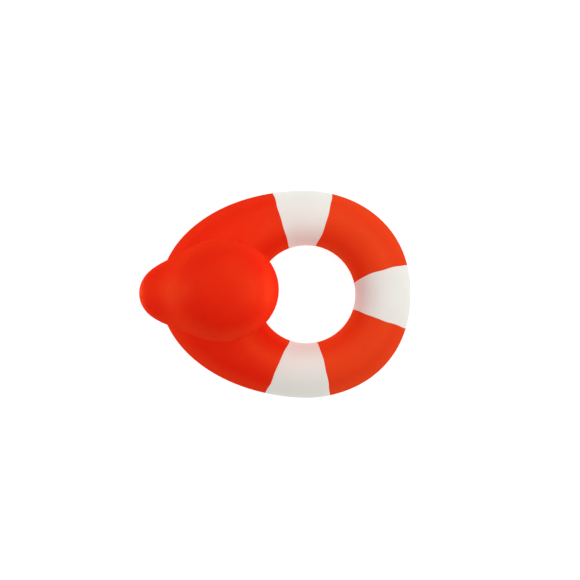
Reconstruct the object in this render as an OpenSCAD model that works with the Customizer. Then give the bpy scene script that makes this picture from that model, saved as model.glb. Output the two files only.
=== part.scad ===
// Duck-shaped ring float for the bath: a hollow rubber ring with three white bands,
// and a hollow duck's head whose neck plugs into a collar on the ring's deep front.
//
// Millimetres. +Z is up and the bill points along -Y. The origin is the middle of the
// float's footprint, on the surface that it stands on. Angles round the ring are
// measured about the hole's axis from +X, so the stern is at 90 and the bow at 270.

/* [Ring] */
// Width of the ring across its sides
body_w = 66; // [62:0.5:70]
// From the hole's axis to the back of the ring
stern_reach = 33.2; // [31:0.1:36]
// From the hole's axis to the front of the chest
bow_reach = 46.6; // [45:0.2:48]
// Diameter of the hole
hole_d = 31; // [29:0.5:32]
// Height of the ring at its sides and back
ring_h = 17.5; // [16:0.5:19]
// Height of the chest under the neck
bow_h = 21; // [20:0.5:22]
// Depth that the flat underside takes off the round tube
foot_cut = 0.8; // [0.5:0.1:1.2]
// Wall thickness of the rubber
wall = 2.4; // [2:0.1:2.6]

/* [Bands] */
// Angle that each white band covers
band_angle = 33; // [26:1:38]
// Angle from the stern band to each side band
band_spread = 94; // [88:1:98]
// Thickness of a band, which lies flush in the ring
band_t = 0.5; // [0.4:0.1:0.7]

/* [Head] */
// Width of the head
head_w = 31.4; // [29:0.2:32.2]
// From the middle of the head forward to where it sinks into the bill
head_front = 17.8; // [17:0.2:19]
// From the middle of the head to its back
head_rear = 17.2; // [16.4:0.2:17.8]
// Height of the head
head_h = 27.2; // [26:0.2:28.4]
// Squareness of the head's upright sections, where 2 is an ellipse
head_square = 2.15; // [2:0.05:2.3]
// From the hole's axis forward to the middle of the head
head_back = 25.7; // [25:0.1:26.5]
// Height of the middle of the head
head_up = 38; // [37.6:0.2:39]
// How much higher the head lies for each millimetre towards its back
head_lean = 0.12; // [0:0.02:0.16]
// Angle that the head is turned in its collar, towards its left
head_yaw = 4.5; // [0:0.5:10]

/* [Bill] */
// From the hole's axis to the tip of the bill, before the head is turned
bill_reach = 51.2; // [50:0.2:52.6]
// Length of the bill's own solid, which sinks into the head
bill_l = 21.6; // [20:0.2:23]
// Width of the bill
bill_w = 19; // [18:0.2:20.4]
// Thickness of the bill above its widest line
bill_over = 4.8; // [4:0.2:5.4]
// Thickness of the bill below its widest line
bill_under = 3.6; // [3:0.2:4.4]
// Squareness of the bill's upright sections, where 2 is an ellipse
bill_square = 2.4; // [2:0.1:2.8]
// Drop from the middle of the head to the bill's widest line
bill_drop = 2.8; // [2:0.2:4]
// Width of the soft join between the head and the bill
bill_blend = 5.5; // [4:0.5:8]

/* [Neck] */
// Diameter of the neck at its joint
neck_d = 18; // [17:0.2:18.6]
// From the hole's axis forward to the neck's axis
neck_back = 28.4; // [27.6:0.2:29]
// Height of the joint between the ring's collar and the head
neck_joint_up = 23.4; // [23:0.1:23.6]
// Diameter of the spigot under the head
spigot_d = 13.2; // [12:0.2:13.6]
// Length of the spigot
spigot_l = 5.5; // [4:0.5:6]

/* [Eyes] */
// Diameter of an eye
eye_d = 3.4; // [3:0.2:4.4]
// Angle of an eye from the bill, round the head
eye_turn = 66; // [56:1:74]
// Angle of an eye above the middle of the head
eye_lift = -20; // [-24:1:-8]

/* [Plug] */
// Diameter of the plug's flange, in the underside
plug_flange_d = 8; // [7:0.2:9]
// Diameter of the plug's stem
plug_stem_d = 5; // [4:0.2:5.6]

/* [Hidden] */

red = [0.88, 0.16, 0.08];
white = [0.93, 0.9, 0.86];
black = [0.06, 0.05, 0.05];
fine = 96; // steps of a true curve
clear = 0.02; // gap between the faces of two pieces that are fitted together
band_gap = 0.05; // degrees between the end of a band and the end of its seat
over = 1; // how far a cutter runs past what it cuts

hole_r = hole_d / 2;
land_depth = 0.2; // the hole's wall is trimmed to a true cylinder, this deep
inner_r = hole_r - land_depth;
stern_square = 0.15; // how far the stern's outline leaves an ellipse for a squarer curve

skin_points = 26; // points round one section of the ring
cavity_points = 16;
skin_step = 4.5; // degrees between sections of the ring
cavity_step = 7.5;
head_turns = 40; // points round the head
head_rows = 27; // rows of points from the back of the head to the tip of the bill
neck_turns = 48;
neck_rows = 6;

head_c = [0, -head_back, head_up];
bill_c = [0, bill_l / 2 - bill_reach, head_up - bill_drop];
back_y = head_rear - head_back;

// The float is centred between its stern and the furthest point of the turned bill
turned_bill = norm([bill_l * cos(head_yaw), bill_w * sin(head_yaw)]) / 2;
bill_front = neck_back - (bill_c.y + neck_back) * cos(head_yaw) + turned_bill;
hole_y = (bill_front - stern_reach) / 2;

neck_r = neck_d / 2;
spigot_r = spigot_d / 2;
spigot_wall = 1.5;
neck_bury = 0.15; // how deep the neck's skin ends inside the ring and the head
foot_front = 4; // spread of the neck's hollow curve, towards the chest
foot_back = 2; // and towards the hole
collar_down = 12; // height of the neck's flat end inside the ring
neck_top = head_up - bill_drop; // and inside the head

plug_y = -(bow_reach + inner_r) / 2;
plug_flange_t = 1.2;
plug_sunk = 0.3; // the flange stays this far above the surface that the float stands on
plug_lip = 0.6; // how far the plug's barb reaches past the stem
plug_barb_l = 1.8;
eye_sunk = 1; // depth of an eye's socket
eye_dome = 0.3; // how far an eye stands out of the head

// ---- Shape of the ring ----

function mix(a, b, t) = a + (b - a) * t;
function smooth(t) = let (u = min(1, max(0, t))) u * u * (3 - 2 * u);

// From the hole's axis to the outside of the ring, at angle a
function outer_reach(a) =
    let (l = sin(a) > 0 ? stern_reach : bow_reach, n = 2 + stern_square * max(0, sin(a)))
    pow(pow(abs(cos(a)) * 2 / body_w, n) + pow(abs(sin(a)) / l, n), -1 / n);

// Middle, half width and half height of the tube's section at angle a
function tube_mid(a) = (outer_reach(a) + inner_r) / 2;
function tube_w(a) = (outer_reach(a) - inner_r) / 2;
function tube_h(a) = (mix(ring_h, bow_h, smooth((-sin(a) - 0.2) / 0.8)) + foot_cut) / 2;

// One section as [distance from the hole's axis, height], inset from the outer skin:
// an ellipse, from the outer edge of its flat underside over the top to the inner edge
function section(a, inset, n) =
    let (w = tube_w(a) - inset, h = tube_h(a) - inset, middle = tube_h(a) - foot_cut,
        low = asin(1 - foot_cut / h))
    [for (j = [0:n - 1]) let (v = mix(-low, 180 + low, j / (n - 1)))
        [tube_mid(a) + w * cos(v), j == 0 || j == n - 1 ? inset : middle + h * sin(v)]];

function section_at(station, n) =
    [for (q = section(station[0], station[1], n))
        [q.x * cos(station[0]), q.x * sin(station[0]), q.y]];

// Stations [angle, inset] from one angle to another, both included
function stations(from, to, inset, step) =
    let (n = ceil((to - from) / step)) [for (i = [0:n]) [mix(from, to, i / n), inset]];

function quad(a, b, c, d) = [[a, b, c], [a, c, d]];

// The faces between rows of n points each, where every row is a closed loop
function skin_faces(rows, n, closed) =
    [for (i = [0:rows - (closed ? 1 : 2)], j = [0:n - 1])
        let (k = (i + 1) % rows, l = (j + 1) % n)
        each quad(i * n + j, i * n + l, k * n + l, k * n + j)];

// A closed ring through a list of stations
module ring_solid(path, n)
    polyhedron([for (s = path) each section_at(s, n)], skin_faces(len(path), n, true));

// A sleeve round the tube from one angle to another, flush with the ring's skin
module sleeve(from, to, t, n) {
    path = stations(from, to, 0, skin_step);
    rows = len(path);
    count = rows * n;
    last = count - n;
    outer = skin_faces(rows, n, false);
    inner = [for (f = outer) [f[2] + count, f[1] + count, f[0] + count]];
    ends = [for (j = [0:n - 1]) let (l = (j + 1) % n) each concat(
        quad(j, count + j, count + l, l),
        quad(last + j, last + l, count + last + l, count + last + j))];
    polyhedron(
        concat([for (s = path) each section_at(s, n)],
            [for (s = path) each section_at([s[0], t], n)]),
        concat(outer, inner, ends));
}

// ---- Shape of the head ----

// Roughly how far point q, seen from the middle of a solid, lies outside it. Its plan is an
// ellipse, and its upright sections are ellipses for an n of 2 and squarer for more.
function pillow_gap(q, r, n) =
    let (plan = max(norm([q.x / r.x, q.y / r.y]), 0.000001), rise = abs(q.z / r.z),
        near = pow(pow(plan, n) + pow(rise, n), 1 / n),
        steep = pow(plan / near, n - 1) * norm([q.x / pow(r.x, 2), q.y / pow(r.y, 2)]) / plan)
    (near - 1) / norm([steep, pow(rise / near, n - 1) / r.z]);

// The smaller of two gaps, with a soft join of width k
function soft_min(a, b, k) = let (h = max(0, k - abs(a - b)) / k) min(a, b) - h * h * k / 4;

function head_gap(p) =
    let (h = p - head_c, b = p - bill_c)
    soft_min(
        pillow_gap([h.x, h.y, h.z - head_lean * h.y],
            [head_w / 2, h.y < 0 ? head_front : head_rear, head_h / 2], head_square),
        pillow_gap(b, [bill_w / 2, bill_l / 2, b.z > 0 ? bill_over : bill_under], bill_square),
        bill_blend);

// From a point p inside the head to its skin along direction d, by halving
function skin_point(p, d, near = 0, far = head_w, halvings = 14) =
    let (m = (near + far) / 2)
    halvings == 0 ? p + m * d
        : head_gap(p + m * d) > 0 ? skin_point(p, d, near, m, halvings - 1)
        : skin_point(p, d, m, far, halvings - 1);

// How far distance y along the head is from its middle to the bill, from 0 to 1
function billward(y) = smooth((-head_back - y) / head_front);

// Height of the middle of the head and of the bill at distance y
function middle_up(y) = mix(head_up + head_lean * (y + head_back), bill_c.z, billward(y));

// One closed row round the head at distance y: a circle's directions at the back, which
// flatten towards the bill
function head_row(y, n) =
    let (flat = mix(1, bill_over * 2 / bill_w, billward(y)))
    [for (j = [0:n - 1]) let (t = j * 360 / n)
        skin_point([0, y, middle_up(y)], [sin(t), 0, flat * cos(t)])];

module head_solid() {
    n = head_turns;
    half = (back_y + bill_reach) / 2;
    ys = [for (i = [1:head_rows]) back_y - half + half * cos(i * 180 / (head_rows + 1))];
    top = (head_rows - 1) * n;
    tips = head_rows * n;
    polyhedron(
        concat([for (y = ys) each head_row(y, n)],
            [[0, back_y, middle_up(back_y)], [0, -bill_reach, bill_c.z]]),
        concat(skin_faces(head_rows, n, false),
            [for (j = [0:n - 1]) let (l = (j + 1) % n)
                each [[l, j, tips], [top + j, top + l, tips + 1]]]));
}

// The air space inside the head, which leans as the head does
module head_space()
    translate([0, (head_rear - head_front) / 2 - head_back, head_up])
        multmatrix([[1, 0, 0, 0], [0, 1, 0, 0], [0, head_lean, 1, 0], [0, 0, 0, 1]])
            scale([head_w, head_front + head_rear, head_h] / 2 - [wall, wall, wall])
                sphere(r = 1, $fn = fine);

// ---- Shape of the neck ----

// Height of the ring's deck at plan point q, and of the head's underside
function deck_up(q) =
    let (a = atan2(q.y, q.x), h = tube_h(a), u = (norm(q) - tube_mid(a)) / tube_w(a))
    h - foot_cut + h * sqrt(max(0, 1 - u * u));
function chin_up(q) = skin_point([q.x, q.y, bill_c.z], [0, 0, -1]).z;

// Where the neck's skin meets the deck (way is -1) or the chin (way is 1), just inside
function meet(way, q) = way < 0 ? deck_up(q) - neck_bury : chin_up(q) + neck_bury;

// The neck's skin from the joint to the ring or the head, in rows of hollow curves, and
// then straight on to a flat end inside it
module neck_root(way, end_up) {
    n = neck_turns;
    points = [for (i = [0:neck_rows + 1], j = [0:n - 1])
        let (t = min(1, i / neck_rows), phi = j * 360 / n, d = [sin(phi), -cos(phi)],
            foot = mix(foot_back, foot_front, (1 + cos(phi)) / 2), axis = [0, -neck_back],
            q = axis + (neck_r + foot * t * t) * d,
            mid = meet(way, axis + neck_r * d), low = meet(way, axis + (neck_r + foot) * d))
        [q.x, q.y, i > neck_rows ? end_up
            : pow(1 - t, 2) * neck_joint_up + 2 * t * (1 - t) * mid + t * t * low]];
    rows = neck_rows + 2;
    loop = [for (j = [0:n - 1]) j];
    faces = concat(skin_faces(rows, n, false),
        [[for (j = loop) n - 1 - j], [for (j = loop) (rows - 1) * n + j]]);
    polyhedron(points, way > 0 ? [for (f = faces) [for (k = [len(f) - 1:-1:0]) f[k]]] : faces);
}

// ---- Placing ----

module in_place() translate([0, hole_y, 0]) children();
module at_neck(up) translate([0, -neck_back, up]) children();
module turned() at_neck(0) rotate(head_yaw) translate([0, neck_back, 0]) children();

// Drawn with +Z out of the head at an eye; side is 1 for the left and -1 for the right
module at_eye(side) {
    turn = side * eye_turn;
    p = skin_point(head_c,
        [cos(eye_lift) * sin(turn), -cos(eye_lift) * cos(turn), sin(eye_lift)]);
    out = [for (e = [[over, 0, 0], [0, over, 0], [0, 0, over]])
        head_gap(p + e) - head_gap(p - e)];
    translate(p) rotate([0, acos(out.z / norm(out)), atan2(out.y, out.x)]) children();
}

module trimmed_hole() difference() {
    children();
    translate([0, 0, -over]) cylinder(r = hole_r, h = bow_h + 2 * over, $fn = fine);
}

// ---- Sub-parts ----

band_middles = [90 - band_spread, 90, 90 + band_spread];
half_band = band_angle / 2;

// Stations round the hull: a shallow seat under each band, and full skin between them
function hull_path() = [for (i = [0:2])
    let (from = band_middles[i] - half_band, to = band_middles[i] + half_band,
        next = i == 2 ? band_middles[0] + 360 - half_band : band_middles[i + 1] - half_band)
    each concat(stations(from, to, band_t, skin_step), stations(to, next, 0, skin_step))];

module ring_hull() color(red) in_place() trimmed_hole() difference() {
    union() {
        ring_solid(hull_path(), skin_points);
        neck_root(-1, collar_down);
    }
    ring_solid(stations(0, 360 - cavity_step, wall, cavity_step), cavity_points);
    at_neck(collar_down) cylinder(r = spigot_r + clear, h = bow_h, $fn = fine);
    translate([0, plug_y, -over])
        cylinder(r = plug_flange_d / 2 + clear, h = over + plug_sunk + plug_flange_t, $fn = fine);
    translate([0, plug_y, 0]) cylinder(r = plug_stem_d / 2 + clear, h = wall + over, $fn = fine);
}

module band(middle) color(white) in_place() trimmed_hole()
    sleeve(middle - half_band + band_gap, middle + half_band - band_gap, band_t - clear,
        skin_points);

module head() color(red) in_place() turned() difference() {
    union() {
        head_solid();
        translate([0, 0, clear]) neck_root(1, neck_top);
        at_neck(neck_joint_up - spigot_l)
            cylinder(r = spigot_r, h = spigot_l + over, $fn = fine);
    }
    head_space();
    at_neck(neck_joint_up - spigot_l - over)
        cylinder(r = spigot_r - spigot_wall, h = head_up - neck_joint_up, $fn = fine);
    for (side = [-1, 1]) at_eye(side)
        translate([0, 0, -eye_sunk]) cylinder(r = eye_d / 2 + clear, h = 2 * eye_sunk, $fn = fine);
}

// A black button with a low dome, pressed into its socket
module eye(side) color(black) in_place() turned() at_eye(side) {
    r = eye_d / 2;
    dome_r = (r * r + eye_dome * eye_dome) / (2 * eye_dome);
    intersection() {
        translate([0, 0, clear - eye_sunk])
            cylinder(r = r, h = eye_sunk + eye_dome, $fn = fine);
        translate([0, 0, eye_dome - dome_r]) sphere(r = dome_r, $fn = 4 * fine);
    }
}

// The stopper that closes the moulding's filling hole: a flange, a stem and a barb
module hull_plug() color(red) in_place() translate([0, plug_y, 0]) {
    r = plug_stem_d / 2;
    top = wall + clear;
    rotate_extrude($fn = fine) polygon([[0, plug_sunk],
        [plug_flange_d / 2, plug_sunk],
        [plug_flange_d / 2, plug_sunk + plug_flange_t - clear],
        [r, plug_sunk + plug_flange_t - clear],
        [r, top],
        [r + plug_lip, top],
        [r - plug_lip, top + plug_barb_l],
        [0, top + plug_barb_l]]);
}

ring_hull();
band(band_middles[0]);  // band_left
band(band_middles[2]);  // band_right
band(band_middles[1]);  // band_stern
head();
eye(1);  // eye_left
eye(-1);  // eye_right
hull_plug();
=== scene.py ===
import math

import bmesh
import bpy
import numpy as np
from mathutils import Matrix, Vector


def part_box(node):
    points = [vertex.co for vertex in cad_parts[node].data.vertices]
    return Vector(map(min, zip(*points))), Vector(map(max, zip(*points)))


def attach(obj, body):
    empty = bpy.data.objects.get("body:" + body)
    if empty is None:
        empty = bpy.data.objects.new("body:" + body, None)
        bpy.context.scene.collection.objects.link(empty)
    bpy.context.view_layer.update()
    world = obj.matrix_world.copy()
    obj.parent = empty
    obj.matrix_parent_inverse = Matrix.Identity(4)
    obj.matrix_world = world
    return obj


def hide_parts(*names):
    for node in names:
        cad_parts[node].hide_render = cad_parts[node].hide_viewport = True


# Duck-shaped ring float for the bath, in soft matt rubber. Its shapes are distance fields
# in the row frame, in millimetres: +Z is up and the bill points along -Y.

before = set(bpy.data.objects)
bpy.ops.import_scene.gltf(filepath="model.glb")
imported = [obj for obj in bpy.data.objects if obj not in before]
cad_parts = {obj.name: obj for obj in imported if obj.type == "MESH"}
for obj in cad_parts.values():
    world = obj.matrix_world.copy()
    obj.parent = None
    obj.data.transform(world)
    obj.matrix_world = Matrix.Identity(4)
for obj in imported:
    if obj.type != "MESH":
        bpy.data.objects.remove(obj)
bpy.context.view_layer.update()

MM = 0.001

# ---- Sizes, mostly as in the part's own source ----

BODY_W = 66.0
STERN_REACH = 33.2
BOW_REACH = 46.6
HOLE_R = 15.5
RING_H = 17.5
BOW_H = 21.0
FOOT_CUT = 0.8
FOOT_BLEND = 1.2  # rounding round the flat underside
WALL = 2.4
STERN_SQUARE = 0.15

HEAD_R = np.array([15.7, 17.2, 13.6])
HEAD_FRONT = 17.8  # the head's half length towards the bill
HEAD_SQUARE = 2.15  # 2 is an ellipsoid, and more makes its top flatter and its sides steeper
HEAD_BACK = 25.7
HEAD_UP = 38.0
HEAD_LEAN = 0.12  # how much higher the head lies for each millimetre towards its back
HEAD_YAW = 4.5  # degrees that the head is turned in its collar, towards its left
BILL_REACH = 51.2
BILL_R = np.array([9.5, 10.8, 4.8])
BILL_UNDER = 3.6  # the bill's half thickness below its widest line
BILL_SQUARE = 2.4  # the same for the bill's sections
BILL_DROP = 2.8
BILL_BLEND = 5.5
MOUTH_DROP = 1.7  # from the bill's widest line down to the crease between its halves, at the tip
MOUTH_RISE = 0.05  # how much higher the crease runs for each millimetre back
MOUTH_END = 5.0  # where it ends, behind the middle of the bill
MOUTH_FADE = 4.0  # and over what length it dies out
MOUTH_W = 0.5
MOUTH_DEPTH = 0.45

NECK_R = 9.0
NECK_BACK = 28.4
NECK_JOINT_UP = 23.4
NECK_HALF = 9.0  # how far the neck reaches above and below its joint
NECK_BLEND = 4.2
JOINT_CUT = 0.25  # the neck's skin ends this far above and below the joint
JOINT_EDGE = [(-0.05, 0.12), (-0.16, 0.03)]  # and goes on through (inwards, off the joint)
SPIGOT_R = 6.6
SPIGOT_L = 5.5
SPIGOT_TIP = 0.6  # size of its end's chamfer

EYE_R = 1.7
EYE_TURN = 66.0
EYE_LIFT = -20.0
EYE_SUNK = 1.0
EYE_DOME = 0.3

PLUG_FLANGE_R = 4.0
PLUG_FLANGE_T = 1.2
PLUG_STEM_R = 2.5
PLUG_SUNK = 0.3
PLUG_LIP = 0.6
PLUG_BARB_L = 1.8

BAND_PROUD = 0.06  # the bands stand out of the ring by this, like a thick coat of paint
BAND_SUNK = 0.15
BAND_POINTS = 192  # round the tube
BAND_ROWS = 41  # across a band
SKIN_IN = 0.08  # the smooth skins lie this far inside the part's flat-sided ones
FIT = 0.03  # gap round an eye, and from the joint's middle to the faces that meet there
SPIGOT_FIT = 0.02  # gap round the spigot
HEAD_STEP = 0.42  # size of the grid that each skin is found on
RING_STEP = 0.55

# The stern band ends where the ring does, which places the hole's axis
HOLE = np.array([0.0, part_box("band_stern")[1][1] / MM - STERN_REACH, 0.0])
HEAD_C = HOLE + [0, -HEAD_BACK, HEAD_UP]
BILL_C = HOLE + [0, BILL_R[1] - BILL_REACH, HEAD_UP - BILL_DROP]
NECK_AXIS = HOLE + [0, -NECK_BACK, 0]
PLUG_AXIS = HOLE + [0, -(BOW_REACH + HOLE_R) / 2, 0]


# ---- Distance fields ----

def smooth(t):
    t = np.clip(t, 0, 1)
    return t * t * (3 - 2 * t)


def soft_min(a, b, k):
    h = np.maximum(k - abs(a - b), 0) / k
    return np.minimum(a, b) - h * h * k / 4


def soft_max(a, b, k):
    return -soft_min(-a, -b, k)


def ellipse_gap(q, r):
    """Roughly how far q lies outside an ellipse or ellipsoid of half sizes r."""
    near = np.sqrt(sum((x / s) ** 2 for x, s in zip(q, r)))
    steep = np.sqrt(sum((x / s ** 2) ** 2 for x, s in zip(q, r)))
    return near * (near - 1) / np.maximum(steep, 1e-6)


def pillow_gap(x, y, z, r, n):
    """Roughly how far a point lies outside a solid with an elliptical plan, whose upright
    sections are ellipses for an n of 2 and squarer for more."""
    plan = np.maximum(np.hypot(x / r[0], y / r[1]), 1e-6)
    near = (plan ** n + abs(z / r[2]) ** n) ** (1 / n)
    steep = (plan / near) ** (n - 1) * np.hypot(x / r[0] ** 2, y / r[1] ** 2) / plan
    return (near - 1) / np.hypot(steep, (abs(z / r[2]) / near) ** (n - 1) / r[2])


def outer_reach(c, s):
    """From the hole's axis to the outside of the ring, along the direction (c, s)."""
    reach = np.where(s > 0, STERN_REACH, BOW_REACH)
    n = 2 + STERN_SQUARE * np.maximum(0, s)
    return ((abs(c) * 2 / BODY_W) ** n + (abs(s) / reach) ** n) ** (-1 / n)


def section(c, s):
    """Middle, half width and half height of the tube along the direction (c, s)."""
    out = outer_reach(c, s)
    high = RING_H + (BOW_H - RING_H) * smooth((-s - 0.2) / 0.8)
    return (out + HOLE_R) / 2, (out - HOLE_R) / 2, (high + FOOT_CUT) / 2


def ring_field(p):
    q = p - HOLE
    reach = np.maximum(np.hypot(q[..., 0], q[..., 1]), 1e-6)
    mid, w, h = section(q[..., 0] / reach, q[..., 1] / reach)
    tube = ellipse_gap([reach - mid, q[..., 2] - (h - FOOT_CUT)], [w, h])
    return soft_max(tube + SKIN_IN, BAND_PROUD - q[..., 2], FOOT_BLEND)


def head_field(p):
    x, y, z = np.moveaxis(yawed(p, -HEAD_YAW) - HEAD_C, -1, 0)
    head = pillow_gap(x, y, z - HEAD_LEAN * y,
                      [HEAD_R[0], np.where(y < 0, HEAD_FRONT, HEAD_R[1]), HEAD_R[2]], HEAD_SQUARE)
    y, z = y + (HEAD_C - BILL_C)[1], z + (HEAD_C - BILL_C)[2]
    bill = pillow_gap(x, y, z, [BILL_R[0], BILL_R[1], np.where(z > 0, BILL_R[2], BILL_UNDER)],
                      BILL_SQUARE)
    crease = (z + MOUTH_DROP - MOUTH_RISE * (y + BILL_R[1])) / MOUTH_W
    crease = MOUTH_DEPTH * np.exp(-crease ** 2) * smooth((MOUTH_END - y) / MOUTH_FADE)
    return soft_min(head, bill, BILL_BLEND) + crease + SKIN_IN


def duck_field(p):
    """The whole outside: the ring, the neck standing on it and the head."""
    q = p - NECK_AXIS
    neck = np.maximum(np.hypot(q[..., 0], q[..., 1]) - NECK_R,
                      abs(q[..., 2] - NECK_JOINT_UP) - NECK_HALF)
    return soft_min(soft_min(ring_field(p), neck, NECK_BLEND), head_field(p), NECK_BLEND)


def yawed(p, degrees):
    """Points turned about the neck's axis."""
    c, s = math.cos(math.radians(degrees)), math.sin(math.radians(degrees))
    x, y = p[..., 0] - NECK_AXIS[0], p[..., 1] - NECK_AXIS[1]
    return np.stack([NECK_AXIS[0] + c * x - s * y, NECK_AXIS[1] + s * x + c * y, p[..., 2]], -1)


def gradient(field, p, e=0.02):
    return np.stack([(field(p + d) - field(p - d)) / (2 * e) for d in np.eye(3) * e], -1)


def settle(field, p, rounds=4):
    """Moves points onto the surface where field is 0."""
    for _ in range(rounds):
        g = gradient(field, p)
        p = p - (field(p) / np.maximum((g * g).sum(-1), 0.1))[..., None] * g
    return p


# ---- Meshes ----

def nets(field, lo, hi, step):
    """Points and quads of the surface where field is 0, found on a grid of cubes."""
    axes = [np.arange(a, b + step, step) for a, b in zip(lo, hi)]
    v = field(np.stack(np.meshgrid(*axes, indexing="ij"), -1))
    cells = tuple(n - 1 for n in v.shape)
    total, count = np.zeros(cells + (3,)), np.zeros(cells)
    quads = []
    for axis in range(3):
        one, two = (axis + 1) % 3, (axis + 2) % 3
        for i in (0, 1):
            for j in (0, 1):
                at = np.zeros(3, int)
                at[one], at[two] = i, j
                a = v[tuple(slice(o, o + n) for o, n in zip(at, cells))]
                far = at + np.eye(3, dtype=int)[axis]
                b = v[tuple(slice(o, o + n) for o, n in zip(far, cells))]
                crossed = (a < 0) != (b < 0)
                t = np.where(crossed, a / np.where(crossed, a - b, 1), 0)
                count += crossed
                total += crossed[..., None] * at
                total[..., axis] += t
    used = count > 0
    index = np.full(cells, -1)
    index[used] = np.arange(used.sum())
    points = np.argwhere(used) + total[used] / count[used][:, None]
    points = np.array(lo) + step * points
    for axis in range(3):
        one, two = (axis + 1) % 3, (axis + 2) % 3
        low = [slice(1, -1)] * 3
        low[axis] = slice(0, -1)
        high = list(low)
        high[axis] = slice(1, None)
        a, b = v[tuple(low)] < 0, v[tuple(high)] < 0
        g = np.argwhere(a != b)
        out = a[a != b]
        g[:, one] += 1
        g[:, two] += 1
        e1, e2 = np.eye(3, dtype=int)[one], np.eye(3, dtype=int)[two]
        ring = [index[tuple((g - d).T)] for d in (e1 + e2, e2, 0 * e1, e1)]
        ring = np.stack(ring, -1)
        quads.append(np.where(out[:, None], ring, ring[:, ::-1]))
    return points, np.concatenate(quads)


def relaxed(field, p, quads, rounds=6):
    """Evens out the quads along the surface."""
    a = quads.ravel()
    b = np.roll(quads, -1, axis=1).ravel()
    ends, others = np.concatenate([a, b]), np.concatenate([b, a])
    count = np.bincount(ends, minlength=len(p))
    for _ in range(rounds):
        mean = np.stack([np.bincount(ends, p[others, k], len(p)) for k in range(3)], -1)
        p = settle(field, p + 0.5 * (mean / count[:, None] - p), 1)
    return settle(field, p, 3)


def skin(field, lo, hi, step):
    p, quads = nets(field, lo, hi, step)
    return relaxed(field, settle(field, p), quads), quads


def to_bmesh(parts):
    """One bmesh of several (points in millimetres, faces)."""
    bm = bmesh.new()
    for points, faces in parts:
        verts = [bm.verts.new(p) for p in (np.asarray(points) * MM).tolist()]
        for f in faces:
            bm.faces.new([verts[i] for i in f])
    return bm


def sheet_faces(rows, n):
    """Quads of a grid of rows of n points that closes both ways."""
    i, j = np.meshgrid(np.arange(rows), np.arange(n), indexing="ij")
    k, l = (i + 1) % rows, (j + 1) % n
    return np.stack([i * n + j, k * n + j, k * n + l, i * n + l], -1).reshape(-1, 4).tolist()


def lathe(profile, n=64):
    """Points and faces of a closed solid turned round Z from (radius, height) pairs, which
    run from the bottom of the axis to its top."""
    t = np.arange(n) * 2 * math.pi / n
    inner = profile[1:-1]
    points = [(r * math.cos(a), r * math.sin(a), z) for r, z in inner for a in t]
    points += [(0, 0, profile[0][1]), (0, 0, profile[-1][1])]
    faces = [(i * n + j, i * n + (j + 1) % n, (i + 1) * n + (j + 1) % n, (i + 1) * n + j)
             for i in range(len(inner) - 1) for j in range(n)]
    last = (len(inner) - 1) * n
    for j in range(n):
        faces.append(((j + 1) % n, j, len(inner) * n))
        faces.append((last + j, last + (j + 1) % n, len(inner) * n + 1))
    return np.array(points), faces


def rounded(profile, radius, steps=4):
    """The profile with each corner but its ends rounded off."""
    points = [profile[0]]
    for before, here, after in zip(profile, profile[1:], profile[2:]):
        here = np.array(here)
        legs = [np.array(p) - here for p in (before, after)]
        cut = min([radius] + [0.45 * np.hypot(*leg) for leg in legs])
        a, b = (here + leg / max(np.hypot(*leg), 1e-6) * cut for leg in legs)
        for k in range(steps + 1):
            t = k / steps
            points.append(tuple((1 - t) ** 2 * a + 2 * t * (1 - t) * here + t * t * b))
    return points + [profile[-1]]


def ordered(bm):
    """The same mesh with its points and faces in a fixed order, which cuts don't keep."""
    verts = sorted(bm.verts, key=lambda v: tuple(v.co))
    number = {v: i for i, v in enumerate(verts)}
    result = bmesh.new()
    points = [result.verts.new(v.co) for v in verts]
    for loop in sorted([number[v] for v in face.verts] for face in bm.faces):
        result.faces.new([points[i] for i in loop])
    bm.free()
    return result


def finished(name, bm, slot, crease=35):
    """Makes a bmesh the piece that stands for the node of its name: smooth but for creases,
    in the rubber of its slot, and riding on the float's one body."""
    bm = ordered(bm)
    bm.normal_update()
    for face in bm.faces:
        face.smooth = True
    for edge in bm.edges:
        edge.smooth = not edge.is_manifold or edge.calc_face_angle(0) < math.radians(crease)
    mesh = bpy.data.meshes.new(name)
    bm.to_mesh(mesh)
    bm.free()
    piece = bpy.data.objects.new(name, mesh)
    bpy.context.scene.collection.objects.link(piece)
    mesh.materials.append(rubbers[slot])
    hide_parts(name)
    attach(piece, "root")


def cut_out(bm, parts):
    """Takes solids, given as (points, faces), out of a bmesh."""
    blocks = []
    for source in (bm, to_bmesh(parts)):
        mesh = bpy.data.meshes.new("block")
        source.to_mesh(mesh)
        source.free()
        block = bpy.data.objects.new("block", mesh)
        bpy.context.scene.collection.objects.link(block)
        blocks.append(block)
    cut = blocks[0].modifiers.new("cut", "BOOLEAN")
    cut.operation, cut.solver, cut.object = "DIFFERENCE", "EXACT", blocks[1]
    result = bmesh.new()
    result.from_object(blocks[0], bpy.context.evaluated_depsgraph_get())
    for block in blocks:
        mesh = block.data
        bpy.data.objects.remove(block)
        bpy.data.meshes.remove(mesh)
    return result


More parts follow.
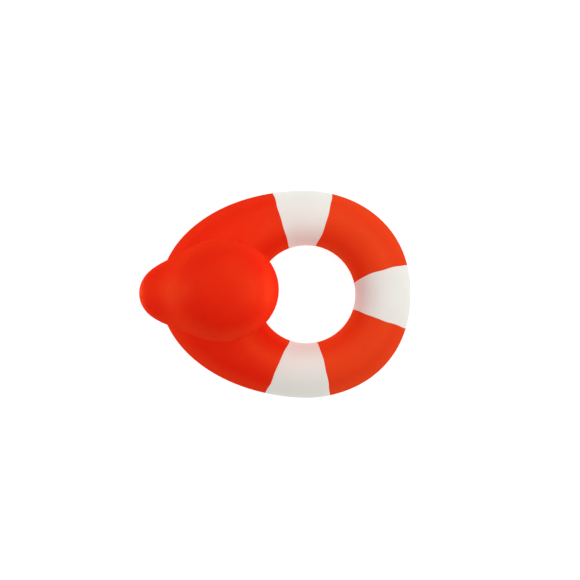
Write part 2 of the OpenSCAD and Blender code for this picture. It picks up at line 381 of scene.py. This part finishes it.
def cap_neck(bm, way, rings):
    """What is above the neck's joint (way is 1) or below it (way is -1), with its edge
    rounded and closed through rings of (radius, height above the joint)."""
    geom = bm.verts[:] + bm.edges[:] + bm.faces[:]
    bmesh.ops.bisect_plane(bm, geom=geom, dist=1e-7,
                           plane_co=(0, 0, (NECK_JOINT_UP + way * JOINT_CUT) * MM),
                           plane_no=(0, 0, -way), clear_outer=True)
    loop = [e for e in bm.edges if e.is_boundary]
    axis = Vector(NECK_AXIS * MM)
    # A radius below 0 is counted in from the edge
    for radius, height in [(inwards, way * off) for inwards, off in JOINT_EDGE] + rings:
        verts = bmesh.ops.extrude_edge_only(bm, edges=loop)["geom"]
        loop = [e for e in verts if isinstance(e, bmesh.types.BMEdge) and e.is_boundary]
        for v in {v for e in loop for v in e.verts}:
            out = Vector((v.co.x - axis.x, v.co.y - axis.y))
            out = out.normalized() * (out.length + radius * MM if radius < 0 else radius * MM)
            v.co = (axis.x + out.x, axis.y + out.y, (NECK_JOINT_UP + height) * MM)
    bmesh.ops.contextual_create(bm, geom=loop)
    bmesh.ops.recalc_face_normals(bm, faces=bm.faces[:])
    return ordered(bm)


# ---- Materials ----

STERN_ORANGE_HIGHLIGHT_SPAN = (-0.008, 0.018)  # from where to where along Y the red rubber turns more orange towards the stern, in metres; on the head's back this is a painted highlight
MIX_A, MIX_B, MIX_RESULT = 6, 7, 2  # a Mix node's sockets for colours


def add(tree, kind, inputs, **settings):
    """A new node. Each of its inputs is a number, a colour or the socket that feeds it."""
    node = tree.nodes.new("ShaderNode" + kind)
    for key, value in settings.items():
        setattr(node, key, value)
    for key, value in inputs.items():
        if isinstance(value, bpy.types.NodeSocket):
            tree.links.new(value, node.inputs[key])
        else:
            node.inputs[key].default_value = value
    return node


def spanned(tree, value, stops, interpolation="LINEAR"):
    """The value carried from one span to another; stops is (from, to, first, last)."""
    keys = ("From Min", "From Max", "To Min", "To Max")
    return add(tree, "MapRange", {"Value": value, **dict(zip(keys, stops))},
               interpolation_type=interpolation).outputs["Result"]


def rubber(name, base, second, roughness, gloss, grain, warm=None, stern=None):
    """Matt moulded rubber: a faint cloudiness in the colour, a fine skin and soft dimples,
    whose noises have so many periods in a metre. warm is the share and colour of tinted
    reflections, and stern is the more orange red that the colour turns to towards the
    stern, which on the head's back is a painted highlight."""
    material = bpy.data.materials.new(name)
    material.use_nodes = True
    tree = material.node_tree
    shader = tree.nodes["Principled BSDF"]
    place = add(tree, "TexCoord", {}).outputs["Object"]

    def noise(scale, detail):
        inputs = {"Vector": place, "Scale": scale, "Detail": detail}
        return add(tree, "TexNoise", inputs).outputs["Fac"]

    def ramp(value, stops):
        node = add(tree, "ValToRGB", {"Fac": value})
        for element, (at, colour) in zip(node.color_ramp.elements, stops):
            element.position, element.color = at, (*colour, 1)
        return node.outputs["Color"]

    def bump(value, strength, distance, inputs):
        return add(tree, "Bump", {"Height": value, "Strength": strength, "Distance": distance,
                                  **inputs}).outputs["Normal"]

    colour = ramp(noise(90, 4), [(0.35, base), (0.7, second)])
    if stern:
        # The red turns more orange towards the stern; on the head's back this is a painted
        # highlight where light from the stern falls
        y = add(tree, "SeparateXYZ", {"Vector": place}).outputs["Y"]
        stern_highlight_share = spanned(tree, y, (*STERN_ORANGE_HIGHLIGHT_SPAN, 0, 1), "SMOOTHSTEP")
        mixed = add(tree, "Mix", {"Factor": stern_highlight_share}, data_type="RGBA")
        tree.links.new(colour, mixed.inputs[MIX_A])
        mixed.inputs[MIX_B].default_value = (*stern, 1)
        colour = mixed.outputs[MIX_RESULT]
    tree.links.new(colour, shader.inputs["Base Color"])
    rough = ramp(noise(420, 3), [(0.3, [roughness - 0.05] * 3), (0.7, [roughness + 0.06] * 3)])
    tree.links.new(rough, shader.inputs["Roughness"])
    dimples = bump(noise(160, 2), 0.12, 0.0006, {})
    surface = bump(noise(2600, 2), grain, 0.0001, {"Normal": dimples})
    tree.links.new(surface, shader.inputs["Normal"])
    shader.inputs["Specular IOR Level"].default_value = gloss
    if warm:
        # The pigment in the skin colours its reflections
        share, tint = warm
        shine = add(tree, "BsdfGlossy",
                    {"Color": (*tint, 1), "Roughness": rough, "Normal": surface})
        mixed = add(tree, "MixShader", {"Fac": share})
        tree.links.new(shader.outputs["BSDF"], mixed.inputs[1])
        tree.links.new(shine.outputs["BSDF"], mixed.inputs[2])
        tree.links.new(mixed.outputs["Shader"], tree.nodes["Material Output"].inputs["Surface"])
    return material


rubbers = {
    # The red rubber's stern colour is a more orange red, which on the head's back is a painted
    # highlight
    "red_rubber": rubber("red_rubber", (0.87, 0.005, 0.002), (0.90, 0.008, 0.003), 0.45, 0.0, 0.3,
                         warm=(0.04, (1.0, 0.55, 0.12)), stern=(0.88, 0.036, 0.008)),
    "white_rubber": rubber("white_rubber", (0.89, 0.86, 0.80), (0.92, 0.89, 0.835), 0.5, 0.2, 0.25),
    "black_rubber": rubber("black_rubber", (0.014, 0.012, 0.012), (0.022, 0.019, 0.018), 0.28, 0.5,
                           0.1),
}


# ---- Camera ----

SHOT_DISTANCE = 600.0
SHOT_WIDTH = 184.5  # width of the view at the ring's middle height
SHOT_TILT = 0.7  # degrees that the camera leans over to the float's left
SHOT_ROLL = 1.6  # degrees that it is turned about its own axis
SHOT_TARGET = HOLE + [-1.2, -5.25, RING_H / 2]

tilt, roll = math.radians(SHOT_TILT), math.radians(SHOT_ROLL)
back = Vector((math.sin(tilt), 0, math.cos(tilt)))
side = Vector((-math.cos(roll), -math.sin(roll), 0)).cross(back).normalized()
turn = Matrix((side, back.cross(side), back)).transposed().to_4x4()
place = (Vector(SHOT_TARGET) + back * SHOT_DISTANCE) * MM
lens = bpy.data.cameras.new("shot")
lens.sensor_width = 36.0
lens.lens = lens.sensor_width * SHOT_DISTANCE / SHOT_WIDTH
lens.clip_start, lens.clip_end = 0.01, 10.0
camera = bpy.data.objects.new("shot", lens)
camera.matrix_world = Matrix.Translation(place) @ turn
bpy.context.scene.collection.objects.link(camera)
bpy.context.scene.camera = camera


# ---- Head, with its bill, neck and spigot ----

def eye_place(side):
    """An origin on the head's skin at an eye, and axes there whose Z points out of it."""
    turn, lift = math.radians(side * EYE_TURN), math.radians(EYE_LIFT)
    d = np.array([math.cos(lift) * math.sin(turn), -math.cos(lift) * math.cos(turn),
                  math.sin(lift)])
    near_skin = yawed((HEAD_C + 16 * d)[None], HEAD_YAW)
    p = settle(duck_field, near_skin, 12)
    out = gradient(duck_field, p)[0]
    return p[0], Vector(out).normalized().to_track_quat("Z", "Y").to_matrix()


def placed(part, place):
    points, faces = part
    origin, axes = place
    return np.asarray(points) @ np.array(axes).T + origin, faces


eyes = {side: eye_place(way) for side, way in (("left", 1), ("right", -1))}
socket = lathe([(0, -EYE_SUNK), (EYE_R + FIT, -EYE_SUNK), (EYE_R + FIT, 0), (EYE_R + 0.3, 0.35),
                (EYE_R + 0.5, 2), (0, 2)])

bm = to_bmesh([skin(duck_field, HEAD_C - [17, 28, 24], HEAD_C + [17, 19, 16.5], HEAD_STEP)])
bm = cap_neck(bm, 1, [(SPIGOT_R, FIT), (SPIGOT_R, SPIGOT_TIP - SPIGOT_L),
                      (SPIGOT_R - SPIGOT_TIP, -SPIGOT_L)])
bm = cut_out(bm, [placed(socket, place) for place in eyes.values()])
finished("head", bm, "red_rubber")


# ---- Ring hull, with its collar ----

lo, hi = (np.array(c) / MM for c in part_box("ring_hull"))
bm = to_bmesh([skin(duck_field, [lo[0] - 2, lo[1] - 2, -1.5], [hi[0] + 2, hi[1] + 3, 31.5],
                    RING_STEP)])
bm = cap_neck(bm, -1, [(SPIGOT_R + SPIGOT_FIT, -FIT),
                       (SPIGOT_R + SPIGOT_FIT, -SPIGOT_L - 0.3)])
flange = lathe([(0, -2), (PLUG_FLANGE_R + 0.35, -2), (PLUG_FLANGE_R + 0.35, 0),
                (PLUG_FLANGE_R + 0.05, 0.35), (PLUG_FLANGE_R + 0.05, PLUG_SUNK + PLUG_FLANGE_T),
                (0, PLUG_SUNK + PLUG_FLANGE_T)])
bm = cut_out(bm, [placed(flange, (PLUG_AXIS, np.eye(3)))])
finished("ring_hull", bm, "red_rubber")


# ---- Bands ----

def band(name, edges):
    """A coat round the tube between two edges. Each edge is (angle at the ring's outside,
    on its deck, at the hole), and wavers a little as a hand-painted one does."""
    v = np.arange(BAND_POINTS) * 2 * math.pi / BAND_POINTS
    c = np.cos(v)
    lines = []
    for k, (outside, deck, inside) in enumerate(edges):
        line = deck + (outside - inside) / 2 * c ** 3 + ((outside + inside) / 2 - deck) * c ** 4
        lines.append(line + 0.25 * np.sin(3 * v + 2 * k) + 0.15 * np.sin(8 * v + 5 * k))
    # Rows over the band with rounded edges, and then back under it
    over, under = np.linspace(0, 1, BAND_ROWS)[1:-1], np.linspace(1, 0, 15)[1:-1]
    across = np.concatenate([[0, 0.0005, 0.003], over, [0.997, 0.9995, 1], under])
    edge = [-BAND_SUNK, 0.3 * BAND_PROUD, 0.9 * BAND_PROUD]
    rise = np.concatenate([edge, np.full(len(over), BAND_PROUD), edge[::-1],
                           np.full(len(under), -BAND_SUNK)])
    a = np.radians(lines[0] + (lines[1] - lines[0]) * across[:, None])
    mid, w, h = section(np.cos(a), np.sin(a))
    reach = mid + w * c
    up = np.maximum(h - FOOT_CUT + h * np.sin(v), BAND_PROUD)
    p = HOLE + np.stack([reach * np.cos(a), reach * np.sin(a), up], -1)
    p = settle(ring_field, p, 5)
    out = gradient(ring_field, p)
    p = p + rise[:, None, None] * out / np.linalg.norm(out, axis=-1, keepdims=True)
    bm = to_bmesh([(p.reshape(-1, 3), sheet_faces(len(across), BAND_POINTS))])
    bmesh.ops.recalc_face_normals(bm, faces=bm.faces[:])
    finished(name, bm, "white_rubber", 60)


band("band_left", [(-21.5, -20.1, -17.9), (14.3, 15.7, 14.3)])
band("band_right", [(167.1, 166.5, 171.0), (199.8, 200.5, 202.8)])
band("band_stern", [(72.1, 72.6, 73.6), (107.2, 109.0, 104.9)])


# ---- Eyes and plug ----

dome = [(EYE_R * math.cos(t), EYE_DOME * math.sin(t)) for t in np.radians(np.arange(0, 90, 10))]
button = lathe([(0, 0.05 - EYE_SUNK), (EYE_R - 0.1, 0.05 - EYE_SUNK), (EYE_R, 0.2 - EYE_SUNK),
                *dome, (0, EYE_DOME)])
for side, place in eyes.items():
    finished(f"eye_{side}", to_bmesh([placed(button, place)]), "black_rubber")

shoulder, top = PLUG_SUNK + PLUG_FLANGE_T - 0.02, WALL + 0.05
stopper = lathe(rounded([
    (0, PLUG_SUNK), (PLUG_FLANGE_R, PLUG_SUNK), (PLUG_FLANGE_R, shoulder),
    (PLUG_STEM_R, shoulder), (PLUG_STEM_R, top), (PLUG_STEM_R + PLUG_LIP, top),
    (PLUG_STEM_R - PLUG_LIP, top + PLUG_BARB_L), (0, top + PLUG_BARB_L)], 0.25))
finished("hull_plug", to_bmesh([placed(stopper, (PLUG_AXIS, np.eye(3)))]), "red_rubber")


# ---- Stage and light ----

FLOOR_REACH = (0.13, 0.6)
FLOOR_GLOW = (0.9, 0.35)


def pale_floor(reach, glow):
    """A matt floor whose glow changes from glow[0] at the first distance of reach, in metres
    from the origin, to glow[1] at the second."""
    material = bpy.data.materials.new("floor")
    material.use_nodes = True
    tree = material.node_tree
    shader = tree.nodes["Principled BSDF"]
    shader.inputs["Base Color"].default_value = (0.3, 0.3, 0.3, 1)
    shader.inputs["Roughness"].default_value = 0.9
    shader.inputs["Specular IOR Level"].default_value = 0.0
    shader.inputs["Emission Color"].default_value = (1, 1, 1, 1)
    place = add(tree, "TexCoord", {}).outputs["Object"]
    away = add(tree, "VectorMath", {0: place}, operation="LENGTH").outputs["Value"]
    tree.links.new(spanned(tree, away, (*reach, *glow), "SMOOTHSTEP"),
                   shader.inputs["Emission Strength"])
    return material


bm = bmesh.new()
bmesh.ops.create_grid(bm, x_segments=1, y_segments=1, size=3.0)
mesh = bpy.data.meshes.new("floor")
bm.to_mesh(mesh)
bm.free()
floor = bpy.data.objects.new("floor", mesh)
mesh.materials.append(pale_floor(FLOOR_REACH, FLOOR_GLOW))
bpy.context.scene.collection.objects.link(floor)


def lamp(name, at, looks_at, size, power, spread=180):
    """A soft rectangular lamp at one place, in millimetres from the hole's foot, that looks
    at another. size is its width along X and its height, in metres."""
    light = bpy.data.lights.new(name, "AREA")
    light.shape, light.energy = "RECTANGLE", power
    light.size, light.size_y = size
    light.spread = math.radians(spread)
    holder = bpy.data.objects.new(name, light)
    holder.location = Vector((HOLE + at) * MM)
    way = Vector(np.subtract(at, looks_at))
    holder.rotation_euler = way.to_track_quat("Z", "Y").to_euler()
    holder.visible_camera = False
    bpy.context.scene.collection.objects.link(holder)


lamp("stern_side", (0, 400, 600), (0, 0, 20), (0.4, 0.4), 0.5)
lamp("right_side", (-600, 0, 350), (0, 0, 20), (0.35, 0.3), 0.35)
lamp("bow_side", (0, -800, 300), (0, 0, 30), (0.35, 0.25), 0.6)
lamp("key", (-200, 0, 750), (0, 0, 20), (0.5, 0.5), 0.3)
lamp("nape", (0, 12, 50), (0, -20, 48), (0.03, 0.006), 0.0006, 90)
lamp("bill_tip", (3, -82, 28), (3, -50, 34), (0.03, 0.012), 0.0018, 100)

# A soft tent: brightest from high up but not from overhead, dimmer from the float's left and
# a little from its right, with a pale wall far behind that meets the floor
world = bpy.data.worlds.new("tent")
bpy.context.scene.world = world
world.use_nodes = True
tent = world.node_tree
direction = add(tent, "TexCoord", {}).outputs["Generated"]


def fade(towards, stops):
    """A grey that depends on how far a direction of the world points towards a vector."""
    dot = add(tent, "VectorMath", {0: direction, 1: towards}, operation="DOT_PRODUCT")
    return spanned(tent, dot.outputs["Value"], stops)


def both(operation, a, b):
    """Two greys of the world taken together."""
    return add(tent, "Math", {0: a, 1: b}, operation=operation).outputs[0]


horizon = fade((0, 0, 1), (0.1, 0.8, 0.3, 1.32))
zenith = fade((0, 0, 1), (0.8, 0.97, 1.0, 0.5))
left_half = fade((0.8, -0.6, 0), (-0.4, 0.8, 1.06, 0.34))
right_half = fade((-1, 0, 0), (0.4, 1.0, 1.0, 0.5))
far_wall = fade((0, 0, 1), (0.08, 0.16, 0.6, 0.0))
light = both("MULTIPLY", both("MULTIPLY", horizon, zenith),
             both("MULTIPLY", left_half, right_half))
background = tent.nodes["Background"]
background.inputs["Color"].default_value = (1, 1, 1, 1)
tent.links.new(both("MAXIMUM", light, far_wall), background.inputs["Strength"])

bpy.context.scene.view_settings.view_transform = "Standard"
